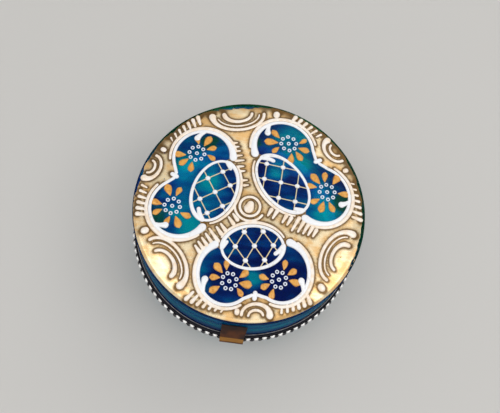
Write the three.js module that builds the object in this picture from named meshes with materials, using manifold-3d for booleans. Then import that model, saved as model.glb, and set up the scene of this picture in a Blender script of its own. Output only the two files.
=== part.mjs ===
// A round hinged trinket box of blown glass: a deep lid with a gently domed, enamelled top over a shallow base,
// each set in a brass mount with a beaded edge, with a hinge behind and a thumb strap in front.
// Millimetres, +Z up. The origin is the centre of the underside, the hinge is at +Y and the strap at -Y.

import * as THREE from "three";
import { mergeVertices } from "three/addons/utils/BufferGeometryUtils.js";
import Module from "manifold-3d";

const wasm = await Module();
wasm.setup();

// Glass, lid and base
const glassRadius = 38; // outside of both pieces where they enter the mounts
const lidWall = 2.6;
const lidTop = 3; // thickness of the glass at the crown
const lidDepth = 23.6; // seam to the edge of the shoulder
const crownRise = 2.4; // crown above the edge of the shoulder
const shoulderRadius = 1.6;
const lidInnerFillet = 2.6;
const baseWall = 3.4;
const baseFloor = 5;
const baseDepth = 19; // underside to the seam
const baseTaper = 1.6; // how much narrower the base is at its heel
const heelRadius = 2;
const baseInnerFillet = 2.4;

// Brass mounts with a beaded edge
const sheet = 0.7;
const bandHeight = 3.6;
const bedding = 0.25; // plaster between the glass and its mount
const seamGap = 0.3;
const lipHeight = 1.6; // the base mount's inner lip, which centres the lid
const lipClearance = 0.45;
const lipInset = 0.3; // inner lip inside the base's inner wall
const solderGap = 0.12;
const beadCount = 88; // beads in a full turn
const beadProud = 1;
const beadCut = 0.5; // depth of the notch between two beads
const beadRoot = 0.2; // sunk in the band
const beadHeight = 1.5;

// Hinge
const hingeWidth = 18;
const leafHeight = 3.2;
const leafThickness = 0.9;
const knuckleRadius = 1.5;
const pinRadius = 0.7;
const pinClearance = 0.14;
const knuckleCount = 5;
const knuckleGap = 0.3;
const knuckleAir = 0.12; // knuckle to the other leaf
const pinOverhang = 0.6;

// Thumb strap
const strapWidth = 8;
const strapThickness = 0.6;
const strapTopBelowEdge = 3; // top of the strap under the edge of the lid's shoulder
const strapLean = 0.3; // strap to the glass at its top
const strapOverBead = 0.3; // strap above the beads
const lipReach = 1.1; // lifting lip past the beads
const lipDrop = 1.1;

// Raised enamel on the lid, placed as shares of the glass's radius
const panelAngles = [-79.7, 41.4, 164.9]; // degrees from +X to the middle of each hand-set panel
const scrollAngles = [-23, 104, 222.6]; // the large scrolls between the panels
const oval = { at: 0.352, halfWidth: 0.182, halfLength: 0.285 };
const lobe = { at: [0.56, 0.252], radius: 0.258, cusp: 0.715, from: -38, to: 158 };
const largeScroll = { at: 0.87, depth: 0.145, halfLength: 0.235 };
const smallScroll = { at: 0.91, depth: 0.06, halfLength: 0.115 };
const ridgeWidth = 2.2;
const ridgeHeight = 0.5; // above the dome
const ridgeRoot = 0.35; // sunk in the dome
const bossRadius = 2.6;

const turns = 40; // facets round the glass and the mounts
const pinSides = 12;

const glass = new THREE.MeshStandardMaterial({ name: "glass", color: 0x0b6f9c, roughness: 0.05, transparent: true,
  opacity: 0.6 });
const brass = new THREE.MeshStandardMaterial({ name: "brass", color: 0x8d6b34, roughness: 0.35, metalness: 1 });
const strapBrass = new THREE.MeshStandardMaterial({ name: "strap", color: 0x6e3f1a, roughness: 0.4, metalness: 1 });

// Heights and radii that several pieces share
const seam = baseDepth;
const shoulderEdge = seam + lidDepth;
const crown = shoulderEdge + crownRise;
const domeRadius = glassRadius - shoulderRadius; // the dome meets the shoulder here
const bandIn = glassRadius + bedding;
const bandOut = bandIn + sheet;
const lipOut = glassRadius - baseWall - lipInset;
const lipIn = lipOut - sheet;
const lidFlangeIn = lipOut + lipClearance;
const beadOut = bandOut + beadProud;
const leafIn = bandOut + solderGap;
const leafOut = leafIn + leafThickness;
const hingeAxis = leafOut + knuckleAir + knuckleRadius;

// Turns a profile of [radius, height] points round Z; the profile starts and ends on the axis or closes on itself.
function turned(profile, closes = false) {
  const area = profile.reduce((sum, [r, z], i) => {
    const [r2, z2] = profile[(i + 1) % profile.length];
    return sum + r * z2 - r2 * z;
  }, 0);
  const points = profile.map(([r, z]) => new THREE.Vector2(r, z));
  if (closes) points.push(points[0].clone());
  if (area < 0) points.reverse();
  return new THREE.LatheGeometry(points, turns).rotateX(Math.PI / 2);
}

// Points of an arc in a profile, from one angle to another in degrees, both ends included.
function arc(r, z, radius, from, to, steps) {
  return Array.from({ length: steps + 1 }, (_, i) => {
    const a = THREE.MathUtils.degToRad(from + ((to - from) * i) / steps);
    return [r + radius * Math.cos(a), z + radius * Math.sin(a)];
  });
}

// A closed three.js geometry as a manifold solid, and back.
function solid(geometry) {
  const bare = geometry.clone();
  bare.deleteAttribute("normal");
  bare.deleteAttribute("uv");
  const merged = mergeVertices(bare, 1e-4);
  return new wasm.Manifold(
    new wasm.Mesh({
      numProp: 3,
      vertProperties: merged.attributes.position.array,
      triVerts: new Uint32Array(merged.index.array),
    }),
  );
}

function geometryOf(manifold) {
  const made = manifold.getMesh();
  const geometry = new THREE.BufferGeometry();
  geometry.setAttribute("position", new THREE.BufferAttribute(new Float32Array(made.vertProperties), 3));
  geometry.setIndex(new THREE.BufferAttribute(new Uint32Array(made.triVerts), 1));
  geometry.computeVertexNormals();
  return geometry;
}

// Joins rings of points, each in the same order, into one closed skin with flat ends unless the rings close up.
function skinned(rings, closes) {
  const sides = rings[0].length;
  const positions = rings.flat(2);
  const index = [];
  const last = closes ? rings.length : rings.length - 1;
  for (let i = 0; i < last; i++)
    for (let j = 0; j < sides; j++) {
      const a = i * sides + j;
      const b = i * sides + ((j + 1) % sides);
      const next = ((i + 1) % rings.length) * sides;
      const c = next + ((j + 1) % sides);
      const d = next + j;
      index.push(a, b, c, a, c, d);
    }
  if (!closes)
    for (let j = 1; j < sides - 1; j++) {
      index.push(0, j + 1, j);
      const end = (rings.length - 1) * sides;
      index.push(end, end + j, end + j + 1);
    }
  const geometry = new THREE.BufferGeometry();
  geometry.setAttribute("position", new THREE.BufferAttribute(new Float32Array(positions), 3));
  geometry.setIndex(index);
  return geometry;
}

const domeHeight = (r) => crown - crownRise * (r / domeRadius) ** 2;

// Base: a tapered bowl with a flat underside and a round heel.
function baseGlass() {
  const mouth = seam - seamGap / 2 - sheet - bedding;
  const footRadius = glassRadius - baseTaper;
  const beltZ = mouth - bandHeight;
  const inner = glassRadius - baseWall;
  const innerFoot = footRadius - baseWall;
  return turned([
    [0, 0],
    ...arc(footRadius - heelRadius, heelRadius, heelRadius, -90, 0, 3),
    [glassRadius - baseTaper / 6, (heelRadius + beltZ) * 0.62],
    [glassRadius, beltZ],
    [glassRadius, mouth],
    [inner, mouth],
    [inner, beltZ],
    ...arc(innerFoot - baseInnerFillet, baseFloor + baseInnerFillet, baseInnerFillet, 0, -90, 2),
    [0, baseFloor],
  ]);
}

// A raised line of enamel on the dome, three-sided, along points given as shares of the glass's radius.
function ridge(path, closes = false) {
  const rings = path.map(([x, y], i) => {
    const before = path[closes ? (i + path.length - 1) % path.length : Math.max(i - 1, 0)];
    const after = path[closes ? (i + 1) % path.length : Math.min(i + 1, path.length - 1)];
    const along = new THREE.Vector2(after[0] - before[0], after[1] - before[1]).normalize();
    const [left, ahead] = [(-along.y * ridgeWidth) / 2, (along.x * ridgeWidth) / 2];
    const [px, py] = [x * glassRadius, y * glassRadius];
    const z = domeHeight(Math.hypot(px, py));
    return [
      [px + left, py + ahead, z - ridgeRoot],
      [px, py, z + ridgeHeight],
      [px - left, py - ahead, z - ridgeRoot],
    ];
  });
  return solid(skinned(rings, closes));
}

// Points of an oval's arc about [at, 0], from one angle to another in degrees.
function ovalArc(at, halfWidth, halfLength, from, to, steps) {
  return Array.from({ length: steps + 1 }, (_, i) => {
    const a = THREE.MathUtils.degToRad(from + ((to - from) * i) / steps);
    return [at + halfWidth * Math.cos(a), halfLength * Math.sin(a)];
  });
}

// One panel before it is turned to its place: an oval and the two lobes outside it, which meet in a cusp.
function panelRidges() {
  const ring = ovalArc(oval.at, oval.halfWidth, oval.halfLength, 0, 360, 20).slice(1);
  const round = Array.from({ length: 10 }, (_, i) => {
    const a = THREE.MathUtils.degToRad(lobe.from + ((lobe.to - lobe.from) * i) / 9);
    return [lobe.at[0] + lobe.radius * Math.cos(a), lobe.at[1] + lobe.radius * Math.sin(a)];
  });
  const upper = [[lobe.cusp, 0.01], ...round];
  const lower = upper.map(([u, v]) => [u, -v]);
  return [ridge(ring, true), ridge(upper), ridge(lower)];
}

// A scroll like a letter C, open towards the rim.
function scrollRidge({ at, depth, halfLength }, steps) {
  return ridge(ovalArc(at, depth, halfLength, 90, 270, steps));
}

// Lid: a deep cap with a low dome, its enamel outlines and a boss at the centre.
function lidGlass() {
  const rim = seam + seamGap / 2 + sheet + bedding;
  const inner = glassRadius - lidWall;
  const ceiling = crown - lidTop;
  const innerEdge = ceiling - crownRise;
  const cap = turned([
    [0, crown],
    [domeRadius * 0.36, domeHeight(domeRadius * 0.36)],
    [domeRadius * 0.7, domeHeight(domeRadius * 0.7)],
    ...arc(domeRadius, shoulderEdge - shoulderRadius, shoulderRadius, 90, 0, 3),
    [glassRadius, rim],
    [inner, rim],
    ...arc(inner - lidInnerFillet, innerEdge - lidInnerFillet, lidInnerFillet, 0, 90, 2),
    [0, ceiling],
  ]);
  let lid = solid(cap);
  for (const angle of panelAngles)
    for (const line of [...panelRidges(), scrollRidge(smallScroll, 5)]) lid = lid.add(line.rotate([0, 0, angle]));
  for (const angle of scrollAngles) lid = lid.add(scrollRidge(largeScroll, 8).rotate([0, 0, angle]));
  const boss = new THREE.CylinderGeometry(bossRadius * 0.6, bossRadius, ridgeHeight + ridgeRoot, 12);
  boss.rotateX(Math.PI / 2).translate(0, 0, crown + (ridgeHeight - ridgeRoot) / 2);
  return geometryOf(lid.add(solid(boss)));
}

// A mount's beaded edge, from one side of the hinge round to the other; side is 1 on the lid and -1 on the base.
function beadedEdge(side) {
  const pitch = (2 * Math.PI) / beadCount;
  const hingeHalf = Math.asin((hingeWidth / 2 + solderGap) / bandOut);
  const beads = Math.floor((2 * Math.PI - 2 * hingeHalf) / pitch);
  const start = -Math.PI / 2 - (beads * pitch) / 2;
  const heights = [seam + (side * seamGap) / 2, seam + side * (seamGap / 2 + beadHeight)];
  const low = Math.min(...heights);
  const high = Math.max(...heights);
  const rings = Array.from({ length: 2 * beads + 1 }, (_, i) => {
    const a = start + (i * pitch) / 2;
    const at = (r, z) => [r * Math.cos(a), r * Math.sin(a), z];
    const face = i % 2 ? beadOut : beadOut - beadCut;
    const root = bandOut - beadRoot;
    return [at(root, low), at(root, high), at(face, (low + high) / 2)];
  });
  return skinned(rings, false);
}

// Lid mount: a band round the glass with a flange under its edge.
function lidMount() {
  const bottom = seam + seamGap / 2;
  const band = turned([
    [lidFlangeIn, bottom],
    [bandOut, bottom],
    [bandOut, bottom + bandHeight],
    [bandIn, bottom + bandHeight],
    [bandIn, bottom + sheet],
    [lidFlangeIn, bottom + sheet],
  ], true);
  return geometryOf(solid(band).add(solid(beadedEdge(1))));
}

// Base mount: the same band the other way up, with an inner lip that stands inside the lid's flange.
function baseMount() {
  const top = seam - seamGap / 2;
  const band = turned([
    [lipIn, top - sheet],
    [bandIn, top - sheet],
    [bandIn, top - bandHeight],
    [bandOut, top - bandHeight],
    [bandOut, top],
    [lipOut, top],
    [lipOut, top + lipHeight],
    [lipIn, top + lipHeight],
  ], true);
  return geometryOf(solid(band).add(solid(beadedEdge(-1))));
}

// One leaf of the hinge with its knuckles; side is 1 on the lid and -1 on the base.
function hingeLeaf(side) {
  const half = hingeWidth / 2;
  const plan = new THREE.Shape();
  const edge = Math.asin(half / leafIn);
  plan.moveTo(-half, leafOut);
  plan.lineTo(-half, leafIn * Math.cos(edge));
  const steps = 6;
  for (let i = 1; i <= steps; i++) {
    const a = -edge + (2 * edge * i) / steps;
    plan.lineTo(leafIn * Math.sin(a), leafIn * Math.cos(a));
  }
  plan.lineTo(half, leafOut);
  plan.closePath();
  const plate = new THREE.ExtrudeGeometry(plan, { depth: leafHeight, bevelEnabled: false });
  plate.translate(0, 0, side > 0 ? seam + seamGap / 2 : seam - seamGap / 2 - leafHeight);
  let leaf = solid(plate);
  const length = (hingeWidth - (knuckleCount - 1) * knuckleGap) / knuckleCount;
  for (let i = 0; i < knuckleCount; i++) {
    if ((i % 2 === 0) !== side < 0) continue;
    const x = -half + length / 2 + i * (length + knuckleGap);
    const barrel = new THREE.CylinderGeometry(knuckleRadius, knuckleRadius, length, pinSides).rotateZ(Math.PI / 2);
    barrel.translate(x, hingeAxis, seam);
    const web = new THREE.BoxGeometry(length, hingeAxis - leafOut + leafThickness / 2, knuckleRadius - seamGap / 2);
    web.translate(x, (hingeAxis + leafOut - leafThickness / 2) / 2, seam + side * (knuckleRadius + seamGap / 2) / 2);
    leaf = leaf.add(solid(barrel)).add(solid(web));
  }
  const bore = new THREE.CylinderGeometry(pinRadius + pinClearance, pinRadius + pinClearance, hingeWidth * 1.2,
    pinSides).rotateZ(Math.PI / 2).translate(0, hingeAxis, seam);
  return geometryOf(leaf.subtract(solid(bore)));
}

function hingePin() {
  return new THREE.CylinderGeometry(pinRadius, pinRadius, hingeWidth + 2 * pinOverhang, pinSides)
    .rotateZ(Math.PI / 2).translate(0, hingeAxis, seam);
}

// Thumb strap: a strip of brass soldered to the lid mount, leaning on the glass above it and turned out below, over
// the beads, as a lifting lip.
function thumbStrap() {
  const above = seam + seamGap / 2 + beadHeight + strapOverBead;
  const face = bandOut + solderGap;
  const t = strapThickness;
  const bandTop = seam + seamGap / 2 + bandHeight;
  const top = shoulderEdge - strapTopBelowEdge;
  const glassFace = glassRadius + strapLean;
  const profile = [
    [face, above + t],
    [face, bandTop],
    [glassFace, top],
    [glassFace + t, top],
    [face + t, bandTop],
    [face + t, above + t + 0.35],
    [face + t + 0.35, above + t],
    [beadOut + strapOverBead + t, above + t],
    [beadOut + lipReach, above + t - lipDrop],
    [beadOut + lipReach - t, above - lipDrop],
    [beadOut + strapOverBead, above],
    [face, above],
  ];
  const shape = new THREE.Shape(profile.map(([r, z]) => new THREE.Vector2(r, z)));
  const strip = new THREE.ExtrudeGeometry(shape, { depth: strapWidth, bevelEnabled: false });
  strip.rotateX(Math.PI / 2).rotateZ(-Math.PI / 2).translate(strapWidth / 2, 0, 0);
  return strip;
}

function piece(name, geometry, material) {
  const mesh = new THREE.Mesh(geometry, material);
  mesh.name = name;
  return mesh;
}

const base = new THREE.Group();
base.add(piece("base_glass", baseGlass(), glass));
base.add(piece("base_mount", baseMount(), brass));
base.add(piece("base_hinge_leaf", hingeLeaf(-1), brass));
base.add(piece("hinge_pin", hingePin(), brass));

const lid = new THREE.Group();
lid.add(piece("lid_glass", lidGlass(), glass));
lid.add(piece("lid_mount", lidMount(), brass));
lid.add(piece("lid_hinge_leaf", hingeLeaf(1), brass));
lid.add(piece("thumb_strap", thumbStrap(), strapBrass));

const trinketBox = new THREE.Group();
trinketBox.add(base, lid);

export default trinketBox;
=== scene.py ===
import math
import random

import bpy
from mathutils import Matrix, Vector
from mathutils.kdtree import KDTree


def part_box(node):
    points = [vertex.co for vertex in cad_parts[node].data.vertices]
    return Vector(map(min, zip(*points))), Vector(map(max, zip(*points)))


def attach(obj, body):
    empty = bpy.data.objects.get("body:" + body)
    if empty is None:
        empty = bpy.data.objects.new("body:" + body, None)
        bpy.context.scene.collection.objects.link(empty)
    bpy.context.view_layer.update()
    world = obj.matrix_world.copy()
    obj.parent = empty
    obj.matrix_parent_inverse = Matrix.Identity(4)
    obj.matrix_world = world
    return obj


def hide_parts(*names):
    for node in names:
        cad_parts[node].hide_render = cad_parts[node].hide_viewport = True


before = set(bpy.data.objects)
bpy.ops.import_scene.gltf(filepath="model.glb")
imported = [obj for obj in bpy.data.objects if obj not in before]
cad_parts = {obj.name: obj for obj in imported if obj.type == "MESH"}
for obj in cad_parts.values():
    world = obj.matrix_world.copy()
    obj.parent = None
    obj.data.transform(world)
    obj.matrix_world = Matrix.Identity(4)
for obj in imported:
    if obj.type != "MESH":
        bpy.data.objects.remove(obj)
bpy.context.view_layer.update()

# Camera. It looks down on the box from in front at about 70 degrees, from close by, and is rolled a little,
# so that the strap shows left of the picture's bottom. Its place and lens were fitted to the top's ellipse.
MM = 0.001
picture_width = 500
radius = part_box("lid_glass")[1][0]
relief = 0.5 * MM
crown_rise = 2.4 * MM
crown = 45.0 * MM
shoulder_edge = crown - crown_rise
look_from = math.radians(-4.4)
look_down = math.radians(70)
roll = math.radians(12)
distance = 5.5 * radius
aim = Vector((0, 0, shoulder_edge))
toward = Vector((math.sin(look_from) * math.cos(look_down),
                 -math.cos(look_from) * math.cos(look_down),
                 math.sin(look_down)))
bpy.ops.object.select_all(action="DESELECT")
bpy.ops.object.camera_add(location=aim + distance * toward)
camera = bpy.context.object
camera.name = "camera"
camera.rotation_mode = "QUATERNION"
upright = toward.to_track_quat("Z", "Y")
camera.rotation_quaternion = upright @ Matrix.Rotation(roll, 3, "Z").to_quaternion()
camera.data.sensor_width = 36
camera.data.lens = 36 * 117.2 * 5.5 / picture_width
camera.data.shift_x = -0.3 / picture_width
camera.data.shift_y = 0.1 / picture_width
camera.data.clip_start = 0.01
bpy.context.scene.camera = camera
bpy.context.scene.view_settings.view_transform = "Standard"


# Glass of the base. The lower half is blown blue glass with a thick floor and a plain ground foot, and its
# mouth is bedded in the mount. It is turned from one profile that runs up the outside and down the inside.
class Socket:
    """An output of a material's nodes, on which arithmetic adds Math nodes."""

    def __init__(self, tree, socket):
        self.tree = tree
        self.socket = socket

    def node(self, kind, settings=None, inputs=None, output=0):
        """Adds a node, makes its settings and then its sockets' values or links, and returns an output."""
        made = self.tree.nodes.new("ShaderNode" + kind)
        for key, value in (settings or {}).items():
            if key == "stops":
                ramp = made.color_ramp
                while len(ramp.elements) < len(value):
                    ramp.elements.new(0.5)
                for element, (place, colour) in zip(ramp.elements, value):
                    element.position = place
                    element.color = (*colour, 1)
            else:
                setattr(made, key, value)
        for key, value in (inputs or {}).items():
            if isinstance(value, Socket):
                self.tree.links.new(value.socket, made.inputs[key])
            else:
                made.inputs[key].default_value = value
        return Socket(self.tree, made.outputs[output])

    def math(self, operation, other=None, clamp=False):
        inputs = {0: self} if other is None else {0: self, 1: other}
        return self.node("Math", {"operation": operation, "use_clamp": clamp}, inputs)

    def __add__(self, other):
        return self.math("ADD", other)

    __radd__ = __add__

    def __mul__(self, other):
        return self.math("MULTIPLY", other)

    __rmul__ = __mul__

    def __sub__(self, other):
        return self.math("SUBTRACT", other)

    def __rsub__(self, other):
        return (self * -1) + other

    def between(self, low, high):
        """Rises smoothly from 0 at the low value to 1 at the high one."""
        settings = {"interpolation_type": "SMOOTHSTEP"}
        return self.node("MapRange", settings, {"Value": self, "From Min": low, "From Max": high})

    def noise(self, scale, detail=3.0, roughness=0.5, stretch=(1, 1, 1)):
        """Soft noise at this many cells to the metre, read from a place."""
        place = self.node("Mapping", None, {"Vector": self, "Scale": stretch})
        return self.node("TexNoise", None, {"Vector": place, "Scale": scale, "Detail": detail,
                                            "Roughness": roughness})

    def height(self):
        return self.node("SeparateXYZ", None, {0: self}, output=2)

    def from_axis(self):
        """Distance of a place from the upright axis."""
        level = self.node("Mapping", None, {"Vector": self, "Scale": (1, 1, 0)})
        return level.node("VectorMath", {"operation": "LENGTH"}, {0: level}, output=1)

    def out_to(self, direction):
        """How far a place lies from the middle in this direction."""
        return self.node("VectorMath", {"operation": "DOT_PRODUCT"}, {0: self, 1: direction}, output=1)

    def close_to(self, spot, reach):
        """1 at a spot, falling smoothly to 0 at this distance from it."""
        away = self.node("VectorMath", {"operation": "DISTANCE"}, {0: self, 1: spot}, output=1)
        return away.between(reach, 0)

    def blend(self, first, second):
        """The first colour where this is 0 and the second where it is 1."""
        first = (*first, 1) if isinstance(first, tuple) else first
        second = (*second, 1) if isinstance(second, tuple) else second
        return self.node("Mix", {"data_type": "RGBA"}, {0: self, 6: first, 7: second}, output=2)

    def bump(self, strength, depth, over=None):
        """A normal roughened by this height, on the surface or over another bump."""
        inputs = {"Height": self, "Strength": strength, "Distance": depth}
        if over is not None:
            inputs["Normal"] = over
        return self.node("Bump", None, inputs)

    def rolled(self, slope):
        """A normal that leans up on an upright wall, as if the wall were slightly domed."""
        return (self.height() * (-slope / MM)).bump(1, MM)


def finish_named(name):
    """A new material, with the place on the piece and its main shader."""
    material = bpy.data.materials.new(name)
    material.use_nodes = True
    tree = material.node_tree
    shader = tree.nodes["Principled BSDF"]
    place = Socket(tree, tree.nodes.new("ShaderNodeTexCoord").outputs["Object"])
    return material, place, shader


def feed(shader, **sockets):
    """Sets the main shader's sockets, to values or to links."""
    for key, value in sockets.items():
        socket = shader.inputs[key.replace("_", " ")]
        if isinstance(value, Socket):
            value.tree.links.new(value.socket, socket)
        else:
            socket.default_value = value


def arc(r, z, size, start, end, steps):
    """Points of an arc in a profile, from one angle to another in degrees."""
    angles = [math.radians(start + (end - start) * i / steps) for i in range(steps + 1)]
    return [(r + size * math.cos(a), z + size * math.sin(a)) for a in angles]


def spun(name, profile, steps, closed=False):
    """A profile of (radius, height) spun round the axis; it is an open line, or it closes on itself."""
    bpy.ops.object.select_all(action="DESELECT")
    bpy.ops.mesh.primitive_circle_add(vertices=len(profile))
    piece = bpy.context.object
    piece.name = name
    for vertex, (r, z) in zip(piece.data.vertices, profile):
        vertex.co = (r, 0, z)
    last = len(profile) - 1
    bpy.ops.object.mode_set(mode="EDIT")
    bpy.ops.mesh.select_mode(type="EDGE")
    bpy.ops.mesh.select_all(action="DESELECT")
    bpy.ops.object.mode_set(mode="OBJECT")
    for edge in piece.data.edges:
        edge.select = not closed and set(edge.vertices) == {0, last}
    bpy.ops.object.mode_set(mode="EDIT")
    if not closed:
        bpy.ops.mesh.delete(type="EDGE")
    bpy.ops.mesh.select_all(action="SELECT")
    bpy.ops.mesh.spin(steps=steps, angle=2 * math.pi, center=(0, 0, 0), axis=(0, 0, 1))
    bpy.ops.mesh.select_all(action="SELECT")
    bpy.ops.mesh.remove_doubles(threshold=1e-7)
    bpy.ops.object.mode_set(mode="OBJECT")
    return piece


def turned(name, profile, steps, closed=False):
    """A solid piece spun from its profile, with its faces outwards and its edges kept sharp."""
    piece = spun(name, profile, steps, closed)
    bpy.ops.object.mode_set(mode="EDIT")
    bpy.ops.mesh.select_all(action="SELECT")
    bpy.ops.mesh.normals_make_consistent(inside=False)
    bpy.ops.object.mode_set(mode="OBJECT")
    bpy.ops.object.shade_smooth_by_angle(angle=math.radians(35))
    return piece


def dress(piece, body, material):
    """Gives a finished piece its material and the half it moves with, if it is a closed mesh."""
    edge_uses = {}
    for polygon in piece.data.polygons:
        for key in polygon.edge_keys:
            edge_uses[key] = edge_uses.get(key, 0) + 1
    stray = len(edge_uses) != len(piece.data.edges)
    if not edge_uses or stray or any(uses != 2 for uses in edge_uses.values()):
        raise ValueError(f"{piece.name} is empty or isn't closed")
    piece.data.materials.clear()
    piece.data.materials.append(material)
    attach(piece, body)


seam = 19 * MM
foot = radius - 1.6 * MM
heel = 2 * MM
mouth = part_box("base_glass")[1][2]
belt = mouth - 3.6 * MM
base_inner = radius - 3.4 * MM
base_floor = 5 * MM
inner_heel = 3.4 * MM
foot_inner = foot - 3.4 * MM

glass_blue, place, shader = finish_named("blue glass")
depth = (place.height() + place.noise(60, 2) * (9 * MM)).between(6 * MM, 20 * MM)
waves = place.noise(90, 2).bump(0.12, 0.4 * MM)
feed(shader, Base_Color=depth.blend((0.08, 0.78, 0.93), (0.02, 0.46, 0.8)), Roughness=0.02, IOR=1.22,
     Transmission_Weight=0.88, Normal=waves)

base_glass = turned("base_glass_blown", [
    (0, 0.25 * MM),
    (foot * 0.45, 0.2 * MM),
    (foot - heel - 3 * MM, 0.1 * MM),
    (foot - heel - 1.5 * MM, 0),
    *arc(foot - heel, heel, heel, -90, 0, 8),
    (foot + 0.5 * MM, (heel + belt) * 0.35),
    (radius - 0.35 * MM, (heel + belt) * 0.68),
    (radius, belt),
    (radius, mouth - 0.3 * MM),
    (radius - 0.3 * MM, mouth),
    (base_inner + 0.3 * MM, mouth),
    (base_inner, mouth - 0.3 * MM),
    (base_inner, belt),
    (foot_inner + 0.8 * MM, (heel + belt) * 0.6),
    *arc(foot_inner - inner_heel, base_floor + inner_heel, inner_heel, 0, -90, 8),
    (0, base_floor),
], 128)
dress(base_glass, "base", glass_blue)
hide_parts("base_glass")


# Pattern of the enamel. Three panels of bare glass stand in the gilding, each an oval with two lobes outside
# it. They are drawn by hand, so they differ in place and width. Lengths are shares of the glass's radius.
class Panel:
    """One panel's own frame: u runs outwards along its middle and v runs across it."""

    def __init__(self, angle, out, wide, flower_v, cusp_at, lattice, hooks, fans):
        self.angle = math.radians(angle)
        self.out = out
        self.wide = wide
        self.flower_v = flower_v
        self.cusp_at = cusp_at
        self.hooks = hooks
        self.lattice = lattice
        self.fans = fans

    def place(self, u, v):
        c, s = math.cos(self.angle), math.sin(self.angle)
        u, v = u + self.out, v * self.wide
        return (radius * (u * c - v * s), radius * (u * s + v * c))


panels = [
    Panel(-80.5, 0.022, 0.9, 0.226, 0.745, (36, -36), {-1: (58, 77), 1: (51, 65)},
          {-1: [(-137, 3), (79, 3), (-67, 1)], 1: [(117, 3), (-66, 3)]}),
    Panel(42.8, -0.011, 1.04, 0.266, 0.735, (44, 134), {-1: (47, 58), 1: (82, 96)},
          {-1: [(92, 3), (-145, 3), (17, 1), (-41, 1)], 1: [(139, 3), (-71, 4)]}),
    Panel(165.3, -0.022, 0.99, 0.266, 0.715, (48, 138), {-1: (70, 52), 1: (58, 74)},
          {-1: [(-123, 4), (60, 3)], 1: [(131, 3), (-73, 2), (25, 2)]}),
]
scroll_angles = [-23, 104, 222.6]
oval_at = 0.352
oval_half_width = 0.182
oval_half_length = 0.285
lobe_u = 0.56
lobe_v = 0.252
lobe_radius = 0.258
flower_u = 0.628


def oval_point(degrees, scale=1.0):
    a = math.radians(degrees)
    return (oval_at + scale * oval_half_width * math.cos(a), scale * oval_half_length * math.sin(a))


def lobe_point(degrees, side, scale=1.0):
    a = math.radians(degrees)
    reach = scale * lobe_radius
    return (lobe_u + reach * math.cos(a), side * (lobe_v + reach * math.sin(a)))


def window_outline(panel):
    """The edge of a panel's bare glass, under the middle of its white outlines."""
    upper = [(panel.cusp_at, 0)] + [lobe_point(d, 1) for d in range(-38, 159, 7)]
    inner = [oval_point(d) for d in range(80, 281, 8)]
    lower = [lobe_point(d, -1) for d in range(158, -39, -7)]
    return [panel.place(u, v) for u, v in upper + inner + lower]


# Glass of the lid. The upper half is a deep blown cap with a low dome and a rounded shoulder. Its glass is
# streaked from navy to turquoise, with bottle green clouds in the panels and along the back of the shoulder.
shoulder = 1.6 * MM
dome_radius = radius - shoulder
lid_wall = 2.6 * MM
lid_inner = radius - lid_wall
lid_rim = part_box("lid_glass")[0][2]
ceiling = crown - 3 * MM
inner_edge = ceiling - crown_rise
inner_round = 2.6 * MM


def dome(r):
    """Height of the dome's surface at this radius."""
    return crown - crown_rise * (r / dome_radius) ** 2


lid_glass = turned("lid_glass_blown", [
    *[(dome_radius * i / 12, dome(dome_radius * i / 12)) for i in range(12)],
    *arc(dome_radius, shoulder_edge - shoulder, shoulder, 86, 0, 8),
    (radius, lid_rim + 0.3 * MM),
    (radius - 0.3 * MM, lid_rim),
    (lid_inner + 0.3 * MM, lid_rim),
    (lid_inner, lid_rim + 0.3 * MM),
    *arc(lid_inner - inner_round, inner_edge - inner_round, inner_round, 0, 80, 7),
    (lid_inner * 0.5, inner_edge + 0.72 * crown_rise),
    (0, ceiling),
], 160)
streaked_glass, place, shader = finish_named("streaked blue glass")
swirl = place.noise(42, 3, 0.55)
streaks = place.noise(130, 4, stretch=(1, 3, 1))
grain = place.noise(900, 2)
light = 0.62 * swirl + 0.38 * streaks
# Soft spots at given places in each panel make the tint lighter or darker.
for panel, u, v, reach, amount in ((0, 0.6, 0.0, 0.15, 0.25), (0, 0.66, -0.28, 0.34, -0.14),
                                   (0, 0.66, 0.28, 0.34, -0.14), (0, 0.35, 0.0, 0.26, -0.05),
                                   (1, 0.62, 0.05, 0.16, 0.22), (1, 0.52, -0.4, 0.27, 0.26),
                                   (1, 0.36, 0.12, 0.16, 0.24), (2, 0.68, -0.1, 0.2, 0.22),
                                   (2, 0.4, 0.4, 0.16, 0.22), (2, 0.42, -0.1, 0.16, 0.2),
                                   (1, 0.62, 0.28, 0.28, 0.12), (2, 0.62, -0.28, 0.22, 0.07),
                                   (2, 0.6, 0.28, 0.26, 0.12), (2, 0.34, 0.0, 0.2, 0.1)):
    x, y = panels[panel].place(u, v)
    light = light + amount * place.close_to((x, y, shoulder_edge + crown_rise / 2), reach * radius)
blues = [(0.42, (0.0, 0.03, 0.28)), (0.5, (0.0, 0.15, 0.6)), (0.59, (0.0, 0.45, 0.84)),
         (0.68, (0.0, 0.92, 1.0))]
tint = light.node("ValToRGB", {"stops": blues}, {0: light})
cloud = 0
for panel, u, v, reach in ((1, 0.68, -0.42, 0.15), (1, 0.36, 0.45, 0.15),
                           (2, 0.56, -0.4, 0.14), (2, 0.7, 0.42, 0.17)):
    x, y = panels[panel].place(u, v)
    cloud = cloud + place.close_to((x, y, shoulder_edge + crown_rise / 2), reach * radius)
green = (cloud + 1.6 * (streaks - 0.5) - 0.25).between(0, 0.4)
tint = (0.85 * green).blend(tint, (0.0, 0.27, 0.08))
flat = place.from_axis()
height = place.height()
wall = (flat - 0.975 * radius).between(0, 0.015 * radius)
# The side wall's tint runs in bands of navy and turquoise by height.
bands = (height + place.noise(55, 3, stretch=(1, 1, 5)) * (9 * MM)) * 10
wall_blues = [(0.27, (0.0, 0.04, 0.28)), (0.31, (0.0, 0.22, 0.62)), (0.36, (0.0, 0.66, 0.9)),
              (0.395, (0.0, 0.24, 0.62)), (0.43, (0.0, 0.46, 0.76)), (0.455, (0.0, 0.05, 0.22))]
wall_tint = bands.node("ValToRGB", {"stops": wall_blues}, {0: bands})
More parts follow.
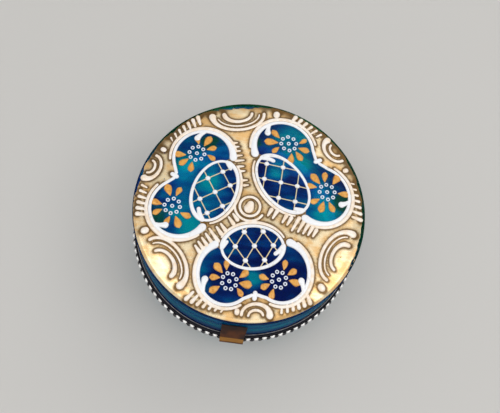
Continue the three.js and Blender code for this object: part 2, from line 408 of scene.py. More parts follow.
tint = wall.blend(tint, wall_tint)
back = place.out_to((0.35, 0.94, 0))
edge = (flat - 0.94 * radius).between(0, 0.03 * radius) * back.between(-0.25 * radius, 0.25 * radius)
tint = edge.blend(tint, (0.0, 0.16, 0.045))
feed(shader, Base_Color=tint, Roughness=0.03, IOR=1.16, Transmission_Weight=0.84,
     Normal=(0.8 * streaks + 0.2 * grain).bump(0.12, 0.5 * MM, place.rolled(0.36)))
dress(lid_glass, "lid", streaked_glass)
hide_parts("lid_glass")


# Enamel strokes. Every line, petal and scroll is a stroke of thick enamel or gilded paste, round-backed, with
# its ends drawn out or left as a blob, and fired onto the dome.
def stroke(path, width, round_start=True, round_end=True):
    """A stroke along places on the dome; its half-width is a number or follows the share of its length."""
    count = len(path)
    half = width if callable(width) else (lambda t: width)
    points = [(x, y, half(i / (count - 1))) for i, (x, y) in enumerate(path)]

    def cap(tip, behind):
        away = (Vector(tip[:2]) - Vector(behind[:2])).normalized()
        turns = [math.radians(d) for d in (25, 50, 72, 87)]
        return [(*(Vector(tip[:2]) + away * tip[2] * math.sin(a)), tip[2] * math.cos(a)) for a in turns]

    start = list(reversed(cap(points[0], points[1]))) if round_start else []
    end = cap(points[-1], points[-2]) if round_end else []
    return start + points + end


def painted(name, strokes, rise, sides=2):
    """Strokes laid on the dome as one mesh; rise is a stroke's height over its half-width."""
    bpy.ops.object.select_all(action="DESELECT")
    bpy.ops.curve.primitive_bezier_curve_add()
    piece = bpy.context.object
    piece.name = name
    curve = piece.data
    curve.splines.clear()
    curve.dimensions = "3D"
    curve.bevel_depth = 1
    curve.bevel_resolution = sides
    curve.use_fill_caps = True
    for points in strokes:
        spline = curve.splines.new("POLY")
        spline.points.add(len(points) - 1)
        for target, (x, y, half) in zip(spline.points, points):
            target.co = (x, y, 0, 1)
            target.radius = half
    bpy.ops.object.convert(target="MESH")
    bpy.ops.object.mode_set(mode="EDIT")
    bpy.ops.mesh.select_all(action="SELECT")
    bpy.ops.mesh.remove_doubles(threshold=1e-7)
    bpy.ops.mesh.normals_make_consistent(inside=False)
    bpy.ops.object.mode_set(mode="OBJECT")
    for vertex in piece.data.vertices:
        x, y, z = vertex.co
        lift = z * rise if z > 0 else z * 0.06
        vertex.co.z = dome(math.hypot(x, y)) + min(lift, relief)
    bpy.ops.object.shade_smooth()
    return piece


def along(function, start, end, steps):
    """Places given by a function of an angle, from one angle to another."""
    return [function(start + (end - start) * i / steps) for i in range(steps + 1)]


def swelling(thin, thick, at=1.0, sharpness=3.0):
    """A half-width that grows from thin to thick towards one share of the length."""
    return lambda t: radius * (thin + (thick - thin) * max(0.0, 1 - abs(t - at)) ** sharpness)


# White outlines. Each oval is drawn in two strokes, with a short one turned in from each end, and each lobe
# in one that swells to a blob by the oval, with a short hook inside it. A blob marks the lobes' cusp.
white, place, shader = finish_named("white enamel")
mottle = place.noise(2600, 4)
grime = place.noise(700, 3).between(0.58, 0.8)
feed(shader, Base_Color=grime.blend((0.93, 0.93, 0.94), (0.76, 0.72, 0.66)),
     Roughness=0.1 + 0.14 * mottle, Coat_Weight=0.4, Normal=mottle.bump(0.15, 0.05 * MM))

outline_strokes = []
for panel in panels:
    def at(uv):
        return panel.place(*uv)

    for turns, width in (([(d, 1) for d in range(-96, 92, 6)], swelling(0.0125, 0.022)),
                         ([(d, 1) for d in range(78, 270, 6)], swelling(0.0125, 0.021)),
                         ([(92, 1), (84, 0.93), (74, 0.86), (66, 0.8)], swelling(0.018, 0.021, 0.2, 1)),
                         ([(270, 1), (262, 0.93), (252, 0.88)], swelling(0.016, 0.019, 0.2, 1))):
        outline_strokes.append(stroke([at(oval_point(d, scale)) for d, scale in turns], width))
    for side in (-1, 1):
        rounded = [(panel.cusp_at + 0.004, side * 0.028)]
        rounded += [lobe_point(d, side) for d in range(-34, 160, 6)]
        outline_strokes.append(stroke([at(p) for p in rounded], swelling(0.015, 0.036, 1.0, 5)))
        first, last = panel.hooks[side]
        hook = [lobe_point(first + (last - first) * i / 4, side, 0.97 - 0.05 * i) for i in range(5)]
        outline_strokes.append(stroke([at(p) for p in hook], swelling(0.017, 0.03, 1.0, 2)))
    blob = [(panel.cusp_at - 0.012, 0.004), (panel.cusp_at + 0.028, -0.004)]
    outline_strokes.append(stroke([at(p) for p in blob], 0.021 * radius))
outlines = painted("enamel_outlines", outline_strokes, 0.52, sides=3)
dress(outlines, "lid", white)


# Flowers. Each lobe holds eight small white rings round a ninth, with fans of orange petals beside them. The
# petals are flat drops of enamel and the rings are thin threads of it.
petal_orange, place, shader = finish_named("orange enamel")
streak = place.noise(1500, 4)
feed(shader, Base_Color=streak.between(0.35, 0.75).blend((0.84, 0.42, 0.085), (0.6, 0.22, 0.02)),
     Roughness=0.2 + 0.15 * streak, Normal=streak.bump(0.2, 0.05 * MM))

ring_white, place, shader = finish_named("ring enamel")
dust = place.noise(3000, 2)
feed(shader, Base_Color=dust.blend((0.86, 0.88, 0.93), (0.74, 0.79, 0.88)), Roughness=0.14 + 0.1 * dust)

petal_strokes = []
ring_places = []
draw = random.Random(7)
for panel in panels:
    for side, fans in panel.fans.items():
        centre = (flower_u, side * panel.flower_v)
        ring_places.append(panel.place(*centre))
        for i in range(8):
            a = math.radians(45 * i + 12)
            spot = (centre[0] + 0.066 * math.cos(a), centre[1] + 0.066 * math.sin(a))
            ring_places.append(panel.place(*spot))
        for direction, count in fans:
            for i in range(count):
                spread = i - (count - 1) / 2
                a = math.radians(direction + 29 * spread + draw.uniform(-3, 3))
                grown = (1 - 0.13 * abs(spread)) * draw.uniform(0.84, 1.14)
                length = 0.108 * grown
                start = 0.088 + 0.008 * draw.random()
                bend = math.radians(9) * spread
                path = [(centre[0] + (start + length * t) * math.cos(a + bend * t),
                         centre[1] + (start + length * t) * math.sin(a + bend * t))
                        for t in (0, 0.12, 0.25, 0.4, 0.55, 0.7, 0.82, 0.92, 1)]

                def drop(t, grown=grown):
                    belly = math.sin(math.pi * min(1, t * 1.02) ** 1.45) ** 0.8
                    return radius * 0.033 * grown * (0.1 + 0.9 * belly)

                petal_strokes.append(stroke([panel.place(*p) for p in path], drop, round_start=False))
petals = painted("enamel_petals", petal_strokes, 0.24)
dress(petals, "lid", petal_orange)

bpy.ops.object.select_all(action="DESELECT")
bpy.ops.mesh.primitive_torus_add(major_radius=0.0125 * radius, minor_radius=0.0054 * radius,
                                 major_segments=12, minor_segments=6)
ring = bpy.context.object
ring.name = "enamel_rings"
ring.scale = (1, 1, 0.75)
bpy.ops.object.transform_apply(location=False)
rings = [ring]
for x, y in ring_places:
    copy = ring.copy()
    copy.data = ring.data.copy()
    bpy.context.collection.objects.link(copy)
    copy.location = (x, y, dome(math.hypot(x, y)) + 0.06 * MM)
    rings.append(copy)
bpy.ops.object.select_all(action="DESELECT")
bpy.data.objects.remove(rings.pop(0))
for copy in rings:
    copy.select_set(True)
bpy.context.view_layer.objects.active = rings[0]
bpy.ops.object.join()
flower_rings = bpy.context.object
flower_rings.name = "enamel_rings"
bpy.ops.object.transform_apply()
bpy.ops.object.shade_smooth()
dress(flower_rings, "lid", ring_white)


# Lattice. Thin gold lines cross in each oval, and a dot of the outlines' white enamel sits on each crossing
# but those at the oval's edge.
lattice_gold, place, shader = finish_named("lattice gold")
broken = place.noise(900, 2)
feed(shader, Base_Color=broken.blend((0.95, 0.84, 0.55), (0.72, 0.55, 0.26)), Metallic=0.2,
     Roughness=0.35)

line_strokes = []
dot_strokes = []
spacing = 0.142
for panel in panels:
    directions = [Vector((math.cos(math.radians(d)), math.sin(math.radians(d)))) for d in panel.lattice]
    step = spacing / abs(directions[0].cross(directions[1]))
    middle = Vector((oval_at - 0.01, 0.015))

    def inside(spot, scale):
        return ((spot.x - oval_at) / oval_half_width) ** 2 + (spot.y / oval_half_length) ** 2 < scale ** 2

    for run, across in (directions, directions[::-1]):
        for i in range(-2, 3):
            spots = [middle + across * step * i + run * 0.01 * j for j in range(-34, 35)]
            spots = [spot for spot in spots if inside(spot, 0.97)]
            if len(spots) > 3:
                line_strokes.append(stroke([panel.place(*spot) for spot in spots], 0.0047 * radius))
    for i in range(-3, 4):
        for j in range(-3, 4):
            spot = middle + directions[0] * step * i + directions[1] * step * j
            if inside(spot, 0.9):
                x, y = panel.place(*spot)
                dot_strokes.append(stroke([(x - 1e-5, y), (x + 1e-5, y)], 0.022 * radius))
lattice = painted("gilt_lattice", line_strokes, 0.4, sides=1)
dress(lattice, "lid", lattice_gold)
dots = painted("enamel_dots", dot_strokes, 0.55)
dress(dots, "lid", white)


# Gilded relief. Scrolls, rungs and rim strokes are raised in pale paste and gilded over, and the gold has
# worn off their backs, so they read cream on gold. Their feet are dark brown, partly grime and partly
# painted shade.
def polar(share, degrees):
    a = math.radians(degrees)
    return (radius * share * math.cos(a), radius * share * math.sin(a))


def scroll_path(angle, at, depth, half_length, start, end, steps=18):
    """A letter C that opens towards the rim."""
    a = math.radians(angle)

    def spot(degrees):
        t = math.radians(degrees)
        u, v = at + depth * math.cos(t), half_length * math.sin(t)
        c, s = math.cos(a), math.sin(a)
        return (radius * (u * c - v * s), radius * (u * s + v * c))

    return along(spot, start, end, steps)


def teardrop(thick, thin=0.4):
    """A half-width that is full soon after the start and thins towards the end."""
    return lambda t: radius * thick * (1 - (1 - thin) * t)


gilt_strokes = []
for angle in scroll_angles:
    for scroll, width in (((0.865, 0.15, 0.232, 268, 88), (0.015, 0.034, 1.0, 6)),
                          ((0.885, 0.085, 0.125, 262, 92), (0.014, 0.024, 0.9, 3)),
                          ((0.872, 0.118, 0.19, 262, 105), (0.006, 0.009, 0.5, 1))):
        gilt_strokes.append(stroke(scroll_path(angle, *scroll), swelling(*width)))
for panel in panels:
    angle = math.degrees(panel.angle)
    for scroll, width in (((0.925, 0.085, 0.115, 268, 84, 12), (0.014, 0.032, 1.0, 4)),
                          ((0.935, 0.045, 0.06, 265, 95, 8), (0.009, 0.013, 0.5, 1))):
        gilt_strokes.append(stroke(scroll_path(angle, *scroll), swelling(*width)))
    halo_scale = 1 + 0.031 / lobe_radius
    for side in (-1, 1):
        halo = [panel.place(*lobe_point(d, side, halo_scale)) for d in range(-24, 150, 6)]
        gilt_strokes.append(stroke(halo, lambda t: radius * (0.012 + 0.006 * math.sin(math.pi * t))))
    halo = []
    for a in (math.radians(d) for d in range(112, 250, 6)):
        u, v = (oval_half_width + 0.029) * math.cos(a), (oval_half_length + 0.029) * math.sin(a)
        halo.append(panel.place(oval_at + u, v))
    gilt_strokes.append(stroke(halo, lambda t: radius * (0.009 + 0.006 * math.sin(math.pi * t))))
for i in range(3):
    here = scroll_angles[i]
    gap = (scroll_angles[(i + 1) % 3] - here) % 360
    for first, count, start, growth in ((0.192, 7, 1.0, -0.09), (0.615, 6, 0.62, 0.08)):
        for j in range(count):
            size = start + growth * j
            a = here + gap * (first + 0.0265 * j)
            rung = [polar(0.918 + 0.036 * size, a - 0.5), polar(0.918 - 0.036 * size, a + 0.5)]
            gilt_strokes.append(stroke(rung, teardrop(0.021 * size, 0.6)))
    for share, size in ((0.415, 0.023), (0.825, 0.031)):
        a = here + gap * share
        gilt_strokes.append(stroke([polar(0.905, a), polar(0.915, a)], size * radius))
    spoke = math.radians(here + 6)
    left_over = 0.55 if i == 1 else 1.0
    for at_share, half in ((0.175, 0.03), (0.222, 0.033), (0.31, 0.032), (0.355, 0.034), (0.413, 0.062),
                           (0.462, 0.05), (0.507, 0.044), (0.55, 0.038), (0.59, 0.03)):
        middle = Vector((math.cos(spoke), math.sin(spoke))) * at_share * radius
        across = Vector((-math.sin(spoke - 0.12), math.cos(spoke - 0.12))) * half * left_over * radius
        gilt_strokes.append(stroke([tuple(middle + across), tuple(middle), tuple(middle - across)],
                                   teardrop(0.0195 * left_over ** 0.5, 0.55)))
boss = Vector(polar(0.023, -103))
for share, start, end, half in ((0.128, 165, 330, 0.012), (0.086, 20, 380, 0.0125)):
    ring_path = [tuple(boss + Vector(polar(share, start + (end - start) * i / 24))) for i in range(25)]
    gilt_strokes.append(stroke(ring_path, half * radius))
comma = [tuple(boss + Vector(polar(0.018, 80))), tuple(boss), tuple(boss + Vector(polar(0.018, 250)))]
gilt_strokes.append(stroke(comma, lambda t: radius * (0.033 + 0.012 * t)))

gilt_relief, place, shader = finish_named("worn gilding on paste")
flat = place.from_axis()
lift = place.height() - crown + (crown_rise / dome_radius ** 2) * flat * flat
# Dark brown at the strokes' feet, partly grime and partly painted shade; cream on their rubbed backs.
rub_and_foot_shade = (lift + (place.noise(1400, 4) - 0.5) * (0.24 * MM)).between(-0.02 * MM, 0.16 * MM)
warm = place.noise(500, 3).between(0.4, 0.65).blend((1.0, 0.9, 0.79), (0.96, 0.78, 0.59))
feed(shader, Base_Color=rub_and_foot_shade.blend((0.2, 0.09, 0.015), warm), Metallic=0.7 - 0.55 * rub_and_foot_shade,
     Roughness=0.24 + 0.1 * rub_and_foot_shade, Normal=place.noise(2200, 3).bump(0.2, 0.06 * MM))
gilt = painted("gilt_relief", gilt_strokes, 0.62, sides=3)
dress(gilt, "lid", gilt_relief)


# Gilding. The ground is burnished gold laid thin on the dome round the panels. It is worn through along the
# rim, most of all at the back, and brushed in fine streaks. Beside the relief it is darkened by grime and
# painted shade, and along the back of the rim by painted shade.
gold_lift = 0.02 * MM
gold_thick = 0.03 * MM
rows = 92
gold_radii = [dome_radius * i / rows for i in range(rows + 1)]
gold_profile = [(r, dome(r) + gold_lift) for r in gold_radii]
gold_profile += arc(dome_radius, shoulder_edge - shoulder, shoulder + gold_lift, 80, 42, 8)
gold = spun("gilt_ground", gold_profile, 288)
bpy.context.view_layer.update()

marks = [(x, y, half) for points in gilt_strokes + outline_strokes for x, y, half in points]
near = KDTree(len(marks))
for i, (x, y, half) in enumerate(marks):
    near.insert((x, y, 0), i)
near.balance()


def cut_window(panel):
    """Cuts one panel's bare glass out of the gilding."""
    bpy.ops.object.select_all(action="DESELECT")
    outline = window_outline(panel)
    bpy.ops.mesh.primitive_circle_add(vertices=len(outline), fill_type="NGON")
    cutter = bpy.context.object
    for vertex, (x, y) in zip(cutter.data.vertices, outline):
        vertex.co = (x, y, shoulder_edge - 3 * MM)
    bpy.ops.object.mode_set(mode="EDIT")
    bpy.ops.mesh.select_all(action="SELECT")
    bpy.ops.mesh.extrude_region_move(TRANSFORM_OT_translate={"value": (0, 0, 8 * MM)})
    bpy.ops.mesh.select_all(action="SELECT")
    bpy.ops.mesh.normals_make_consistent(inside=False)
    bpy.ops.object.mode_set(mode="OBJECT")
    bpy.context.view_layer.objects.active = gold
    cut = gold.modifiers.new("window", "BOOLEAN")
    cut.operation = "DIFFERENCE"
    cut.solver = "EXACT"
    cut.object = cutter
    bpy.ops.object.modifier_apply(modifier=cut.name)
    bpy.data.objects.remove(cutter)


laid = gold.modifiers.new("leaf", "SOLIDIFY")
laid.thickness = gold_thick
laid.offset = 1
bpy.ops.object.select_all(action="DESELECT")
bpy.context.view_layer.objects.active = gold
bpy.ops.object.modifier_apply(modifier=laid.name)
for panel in panels:
    cut_window(panel)

# The grime attribute darkens the ground close to the relief and the outlines: partly grime, partly painted
# shade.
grime = gold.data.attributes.new("grime", "FLOAT", "POINT")
for i, vertex in enumerate(gold.data.vertices):
    x, y, _ = vertex.co
    found = near.find_n((x, y, 0), 3)
    gap = min(reach - marks[index][2] for _, index, reach in found)
    grime.data[i].value = math.exp(-max(gap, 0) / (0.8 * MM))

gilding, place, shader = finish_named("burnished gilding")
grime_and_shade = place.node("Attribute", {"attribute_name": "grime"}, None, output=2)
cloud = place.noise(220, 4)
fine = place.noise(1800, 4)
brush = place.noise(240, 3, stretch=(1, 6, 1))
flat = place.from_axis()
behind = place.out_to((0.174, 0.985, 0))
# Painted shade darkens the gold along the back of the rim.
rear_rim_shade = (flat - 0.9 * radius).between(0, 0.07 * radius) * behind.between(-0.1 * radius, 0.5 * radius)
soil_and_shade = (grime_and_shade * (0.6 + 0.9 * cloud) + 0.3 * (brush - 0.5) + 0.75 * rear_rim_shade).between(0.15, 0.85)
clean = (0.7 * cloud + 0.3 * brush).between(0.37, 0.6).blend((0.88, 0.54, 0.22), (1.0, 0.82, 0.52))
tone = (0.92 * soil_and_shade).blend(clean, (0.13, 0.06, 0.01))
rim = (flat - 0.93 * radius).between(0, 0.05 * radius)
bare = rim * (place.noise(300, 4) - 0.5) * 1.2
shed = (flat - 0.962 * radius + (cloud - 0.5) * (0.06 * radius)).between(0, 0.012 * radius)
bare = bare + shed * behind.between(-0.6 * radius, 0)
crest = place.out_to((-0.208, 0.978, 0))
bare = bare + (crest + (brush - 0.5) * (0.05 * radius)).between(0.925 * radius, 0.94 * radius)
worn = (bare + 1.1 * (place.noise(520, 4, 0.6) - 0.5)).between(0.5, 0.62)
specks = place.noise(1100, 2).between(0.73, 0.76)
roll = (flat - 0.87 * radius).between(0, 0.13 * radius).bump(1, -0.8 * MM)
feed(shader, Base_Color=tone, Metallic=0.65 + 0.2 * soil_and_shade, Roughness=0.2 + 0.1 * fine + 0.15 * soil_and_shade,
     Specular_IOR_Level=0.2,
     Normal=(0.9 * brush + 0.1 * fine).bump(0.2, 0.08 * MM, roll), Alpha=(1 - worn) * (1 - specks))
bpy.context.view_layer.objects.active = gold
bpy.ops.object.shade_smooth_by_angle(angle=math.radians(35))
dress(gold, "lid", gilding)


# Mounts. A brass band is bedded round each mouth, with a row of beads milled on its edge at the seam. The
# beads are rubbed bright at their tips and painted near white there as a highlight. The band behind them is
# black with tarnish but for its edges by the glass, which are burnished and painted bright as a highlight.
# The lower beads beside the seam are darkened with painted shade. The flanges inside have kept their brass.
band_in = radius + 0.25 * MM
band_out = band_in + 0.7 * MM
band_height = 3.6 * MM
seam_gap = 0.3 * MM
bead_count = 88
bead_height = 1.5 * MM
bead_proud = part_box("lid_mount")[1][0] - band_out
hinge_half = 9.12 * MM
lip_out = radius - 3.7 * MM
lip_in = lip_out - 0.7 * MM
flange_in = lip_out + 0.45 * MM
sheet = 0.7 * MM

mount_brass, place, shader = finish_named("mount brass")
height = place.height()
flat = place.from_axis()
spots = place.noise(900, 4)
# Bead tips: rubbed bright, and painted near white as a highlight.
on_bead = (flat - band_out + (spots - 0.5) * (0.3 * MM)).between(0.2 * MM, 0.45 * MM)
glass_edge = (band_in + 0.3 * MM - flat).between(0, 0.1 * MM)
# Edges by the glass: burnished, and painted bright as a highlight.
top_edge = (height - (seam + seam_gap / 2 + band_height - 0.22 * MM)).between(0, 0.12 * MM) * glass_edge
low_edge = (seam - seam_gap / 2 - band_height + 0.22 * MM - height).between(0, 0.12 * MM) * glass_edge
inner = (band_in - 0.1 * MM - flat).between(0, 0.1 * MM)
# Painted shade on the lower beads beside the seam.
seam_shade = (height - seam + 1.15 * MM).between(0, 0.2 * MM) * (seam - height).between(-0.1 * MM, 0)
bright = (on_bead * (1 - 0.95 * seam_shade) + 0.7 * top_edge * spots + 0.6 * low_edge).math("MINIMUM", 1.0)
tone = bright.blend((0.004, 0.004, 0.009), (1.0, 0.98, 0.95))
feed(shader, Base_Color=inner.blend(tone, (0.72, 0.5, 0.24)), Metallic=0.6 * bright + 0.9 * inner,
     Roughness=0.5 - 0.3 * bright + 0.12 * spots - 0.25 * inner, Specular_IOR_Level=0.15,
     Normal=spots.bump(0.25, 0.08 * MM, place.rolled(0.36)))


def beads(side):
    """A row of beads from one side of the hinge round to the other; the lower row's are under the gaps."""
    pitch = 2 * math.pi / bead_count
    free = 2 * math.pi - 2 * math.asin(hinge_half / band_out)
    count = int(free / pitch) - (side < 0)
    first = -math.pi / 2 - (count - 1) * pitch / 2
    z = seam + side * (seam_gap + bead_height) / 2
    bpy.ops.object.select_all(action="DESELECT")
    bpy.ops.mesh.primitive_uv_sphere_add(segments=10, ring_count=7, radius=1, location=(band_out, 0, z))
    row = bpy.context.object
    row.scale = (bead_proud, (0.95 if side > 0 else 1.1) * MM, bead_height / 2)
    bpy.ops.object.transform_apply()
    bpy.ops.object.select_all(action="DESELECT")
    bpy.ops.object.empty_add(rotation=(0, 0, pitch))
    step = bpy.context.object
    bpy.context.view_layer.objects.active = row
    row.select_set(True)
    repeat = row.modifiers.new("row", "ARRAY")
    repeat.count = count
    repeat.use_relative_offset = False
    repeat.use_object_offset = True
    repeat.offset_object = step
    bpy.ops.object.modifier_apply(modifier=repeat.name)
    bpy.data.objects.remove(step)
    row.data.transform(Matrix.Rotation(first, 4, "Z"))
    for polygon in row.data.polygons:
        polygon.use_smooth = True
    return row


def mount(name, profile, side):
    """A mount's band with its row of beads."""
    band = turned(name, profile, 176, closed=True)
    bpy.ops.object.select_all(action="DESELECT")
    band.select_set(True)
    beads(side).select_set(True)
    bpy.context.view_layer.objects.active = band
    band.select_set(True)
    bpy.ops.object.join()
    return band


soft = 0.12 * MM
low = seam + seam_gap / 2
lid_mount = mount("lid_mount_milled", [
    (flange_in, low + soft), (flange_in + soft, low), (band_out - soft, low), (band_out, low + soft),
    (band_out, low + band_height - soft), (band_out - soft, low + band_height),
    (band_in + soft, low + band_height), (band_in, low + band_height - soft),
    (band_in, low + sheet), (flange_in, low + sheet),
], 1)
dress(lid_mount, "lid", mount_brass)
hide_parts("lid_mount")

high = seam - seam_gap / 2
lip_top = high + 1.6 * MM
base_mount = mount("base_mount_milled", [
    (lip_in, high - sheet), (band_in, high - sheet), (band_in, high - band_height + soft),
    (band_in + soft, high - band_height), (band_out - soft, high - band_height),
    (band_out, high - band_height + soft), (band_out, high - soft), (band_out - soft, high),
    (lip_out, high), (lip_out, lip_top - soft),
    (lip_out - soft, lip_top), (lip_in + soft, lip_top), (lip_in, lip_top - soft),
], -1)
dress(base_mount, "base", mount_brass)
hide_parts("base_mount")


# Hinge. Two brass leaves are soldered to the mounts at the back, with three knuckles on the base and two on
# the lid, and a pin runs through them. The photo hides it, so it is plain.
hinge_brass, place, shader = finish_named("hinge brass")
tarnish = place.noise(500, 4)
rubbed = place.noise(2600, 3)
feed(shader, Base_Color=tarnish.between(0.35, 0.7).blend((0.5, 0.34, 0.14), (0.16, 0.1, 0.05)),
     Metallic=0.95, Roughness=0.26 + 0.25 * tarnish, Normal=rubbed.bump(0.2, 0.06 * MM))

hinge_width = 18 * MM
leaf_in = band_out + 0.12 * MM
leaf_out = leaf_in + 0.9 * MM
leaf_height = 3.2 * MM
knuckle = 1.5 * MM
bore = 0.84 * MM
knuckle_gap = 0.3 * MM
knuckle_count = 5
hinge_y = leaf_out + 0.12 * MM + knuckle


def hinge_leaf(name, side):
    """A leaf whose back follows the mount, with its knuckles and their bore."""
    edge = math.asin(hinge_width / 2 / leaf_in)
    z = seam + side * (seam_gap + leaf_height) / 2
    bpy.ops.object.select_all(action="DESELECT")
    bpy.ops.mesh.primitive_grid_add(x_subdivisions=16, y_subdivisions=1, size=1)
    leaf = bpy.context.object
    leaf.name = name
    for vertex in leaf.data.vertices:
        x = vertex.co.x * hinge_width
        behind = leaf_in * math.cos(math.asin(x / leaf_in))
        vertex.co = (x, leaf_out if vertex.co.y > 0 else behind, z - leaf_height / 2)
    bpy.ops.object.mode_set(mode="EDIT")
    bpy.ops.mesh.select_all(action="SELECT")
    bpy.ops.mesh.extrude_region_move(TRANSFORM_OT_translate={"value": (0, 0, leaf_height)})
    bpy.ops.mesh.select_all(action="SELECT")
    bpy.ops.mesh.normals_make_consistent(inside=False)
    bpy.ops.object.mode_set(mode="OBJECT")
    length = (hinge_width - (knuckle_count - 1) * knuckle_gap) / knuckle_count
    parts = [leaf]
    for i in range(knuckle_count):
        if (i % 2 == 0) != (side < 0):
            continue
        x = -hinge_width / 2 + length / 2 + i * (length + knuckle_gap)
        parts.append(barrel(x, length, side))
    bpy.ops.object.select_all(action="DESELECT")
    for part in parts:
        part.select_set(True)
    bpy.context.view_layer.objects.active = leaf
    bpy.ops.object.join()
    soften = leaf.modifiers.new("edges", "BEVEL")
    soften.width = 0.09 * MM
    soften.segments = 2
    soften.limit_method = "ANGLE"
    soften.angle_limit = math.radians(50)
    bpy.ops.object.modifier_apply(modifier=soften.name)
    bpy.ops.object.shade_smooth_by_angle(angle=math.radians(40))
    return leaf


def barrel(x, length, side):
    """One knuckle: the sheet leaves the leaf at the seam's height and rolls round the pin."""
    bpy.ops.object.select_all(action="DESELECT")
    bpy.ops.mesh.primitive_cylinder_add(vertices=28, radius=knuckle, depth=length,
                                        end_fill_type="NOTHING", location=(x, hinge_y, seam),
                                        rotation=(0, math.pi / 2, 0))
    roll = bpy.context.object
    bpy.ops.object.transform_apply()
    hollow = roll.modifiers.new("bore", "SOLIDIFY")
    hollow.thickness = knuckle - bore
    hollow.offset = -1
    hollow.use_rim = True
    bpy.ops.object.modifier_apply(modifier=hollow.name)
    web_back = hinge_y - knuckle * 0.72
    web_front = leaf_out - 0.4 * MM
    bpy.ops.mesh.primitive_cube_add(size=1, location=(x, (web_back + web_front) / 2,
                                                      seam + side * (knuckle * 0.55 + seam_gap / 4)))
    web = bpy.context.object
    web.scale = (length, web_back - web_front, knuckle * 0.9 - seam_gap / 2)
    bpy.ops.object.transform_apply()
    bpy.ops.object.select_all(action="DESELECT")
    roll.select_set(True)
    web.select_set(True)
    bpy.context.view_layer.objects.active = roll
    bpy.ops.object.join()
    return roll


base_leaf = hinge_leaf("base_hinge_leaf_rolled", -1)
dress(base_leaf, "base", hinge_brass)
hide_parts("base_hinge_leaf")
lid_leaf = hinge_leaf("lid_hinge_leaf_rolled", 1)
dress(lid_leaf, "lid", hinge_brass)
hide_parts("lid_hinge_leaf")

bpy.ops.object.select_all(action="DESELECT")
bpy.ops.mesh.primitive_cylinder_add(vertices=24, radius=0.7 * MM, depth=hinge_width + 1.2 * MM,
                                    location=(0, hinge_y, seam), rotation=(0, math.pi / 2, 0))
pin = bpy.context.object
pin.name = "hinge_pin_turned"
bpy.ops.object.transform_apply()
ends = pin.modifiers.new("ends", "BEVEL")
ends.width = 0.22 * MM
ends.segments = 3
ends.limit_method = "ANGLE"
ends.angle_limit = math.radians(50)
bpy.ops.object.modifier_apply(modifier=ends.name)
bpy.ops.object.shade_smooth_by_angle(angle=math.radians(40))
dress(pin, "base", hinge_brass)
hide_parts("hinge_pin")


# Thumb strap. A strip of thin brass is soldered to the lid's mount. It lies up the glass and is folded out
# below over the beads as a lip, and it has aged to a dark red brown. It is darker towards its top, and a
# painted highlight runs along its fold.
strap_width = 8 * MM
strap_thick = 0.6 * MM
strap_low, strap_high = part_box("thumb_strap")
lean = 0.3 * MM
over_bead = seam + seam_gap / 2 + bead_height + 0.3 * MM
lip_end = -strap_low[1]
fold = over_bead + strap_thick
line = [
    (radius + lean + strap_thick / 2, strap_high[2] - 0.02 * MM),
    (band_out + 0.12 * MM + strap_thick / 2, seam + seam_gap / 2 + band_height),
    (band_out + 0.12 * MM + strap_thick / 2, fold + 0.35 * MM),
    (band_out + 0.47 * MM + strap_thick / 2, fold - strap_thick / 2),
    (band_out + bead_proud + 0.3 * MM, fold - strap_thick / 2),
    (lip_end - strap_thick / 2, strap_low[2] + 0.1 * MM),
]
bpy.ops.object.select_all(action="DESELECT")
bpy.ops.mesh.primitive_plane_add(size=1)
strap = bpy.context.object
strap.name = "thumb_strap_folded"
bpy.ops.object.mode_set(mode="EDIT")
bpy.ops.mesh.select_all(action="DESELECT")
bpy.ops.object.mode_set(mode="OBJECT")
for vertex in strap.data.vertices:
    first = vertex.co.y < 0
    r, z = line[0] if first else line[1]
    vertex.co = (math.copysign(strap_width / 2, vertex.co.x), -r, z)
    vertex.select = not first
for edge in strap.data.edges:
    edge.select = all(strap.data.vertices[v].select for v in edge.vertices)
bpy.ops.object.mode_set(mode="EDIT")
bpy.ops.mesh.select_mode(type="EDGE")
for (r0, z0), (r1, z1) in zip(line[1:], line[2:]):
    bpy.ops.mesh.extrude_region_move(TRANSFORM_OT_translate={"value": (0, -(r1 - r0), z1 - z0)})
bpy.ops.mesh.select_all(action="SELECT")
bpy.ops.mesh.normals_make_consistent(inside=False)
bpy.ops.object.mode_set(mode="OBJECT")
thicken = strap.modifiers.new("sheet", "SOLIDIFY")
thicken.thickness = strap_thick
thicken.offset = 0
thicken.use_even_offset = True
soften = strap.modifiers.new("edges", "BEVEL")
soften.width = 0.16 * MM
soften.segments = 3
soften.limit_method = "ANGLE"
soften.angle_limit = math.radians(30)
for modifier in ("sheet", "edges"):
    bpy.ops.object.modifier_apply(modifier=modifier)
bpy.ops.object.shade_smooth_by_angle(angle=math.radians(40))

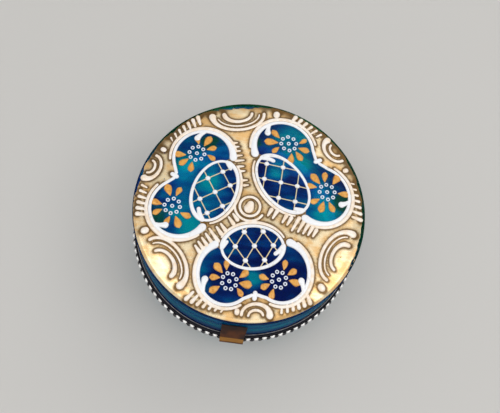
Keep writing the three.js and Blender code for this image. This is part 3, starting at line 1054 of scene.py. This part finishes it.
aged, place, shader = finish_named("aged strap brass")
height = place.height()
stain = place.noise(300, 3, stretch=(1, 1, 0.22))
dents = place.noise(380, 2, stretch=(1, 1, 0.3))
# Painted highlight along the fold.
folded = 1 - (height - fold).math("ABSOLUTE").between(0.2 * MM, 1.2 * MM)
upper = (height - (strap_high[2] - 9 * MM)).between(0, 8 * MM)
warm = stain.between(0.35, 0.65).blend((0.022, 0.004, 0.001), (0.1, 0.026, 0.003))
tone = (upper * 0.8).blend(warm, (0.012, 0.004, 0.002))
tone = (folded * 0.5).blend(tone, (0.5, 0.24, 0.04))
feed(shader, Base_Color=tone, Metallic=0.3, Roughness=0.3 + 0.25 * stain, Specular_IOR_Level=0.35,
     Normal=dents.bump(0.3, 0.2 * MM, place.rolled(0.5)))
dress(strap, "lid", aged)
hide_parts("thumb_strap")


# Floor and light. The box stands on a plain pale ground in a bright room, lit softly from behind and in
# front. Two smaller lamps high on the left and right are there for the glare on the gilded shoulder.
bpy.ops.object.select_all(action="DESELECT")
bpy.ops.mesh.primitive_plane_add(size=4, location=(0, 0, -0.00002))
floor = bpy.context.object
floor.name = "floor"
paper, place, shader = finish_named("pale ground")
feed(shader, Base_Color=(0.6, 0.583, 0.552, 1), Roughness=0.8)
floor.data.materials.append(paper)

world = bpy.data.worlds.new("studio")
bpy.context.scene.world = world
world.use_nodes = True
world.node_tree.nodes["Background"].inputs["Color"].default_value = (0.97, 0.98, 1, 1)
world.node_tree.nodes["Background"].inputs["Strength"].default_value = 0.61


def lamp(name, azimuth, elevation, reach, size, power):
    """A square soft lamp, aimed at the box."""
    a, e = math.radians(azimuth), math.radians(elevation)
    direction = Vector((math.cos(a) * math.cos(e), math.sin(a) * math.cos(e), math.sin(e)))
    bpy.ops.object.select_all(action="DESELECT")
    bpy.ops.object.light_add(type="AREA", location=aim + direction * reach)
    made = bpy.context.object
    made.name = name
    made.rotation_mode = "QUATERNION"
    made.rotation_quaternion = direction.to_track_quat("Z", "Y")
    made.data.size = size
    made.data.energy = power


lamp("window", 62, 42, 1.0, 0.8, 1.2)
lamp("front", -90, 40, 1.0, 0.8, 1.2)
lamp("left", 201, 62, 0.8, 0.4, 0.95)
lamp("right", -14, 57, 0.8, 0.45, 1.3)

bpy.context.view_layer.update()
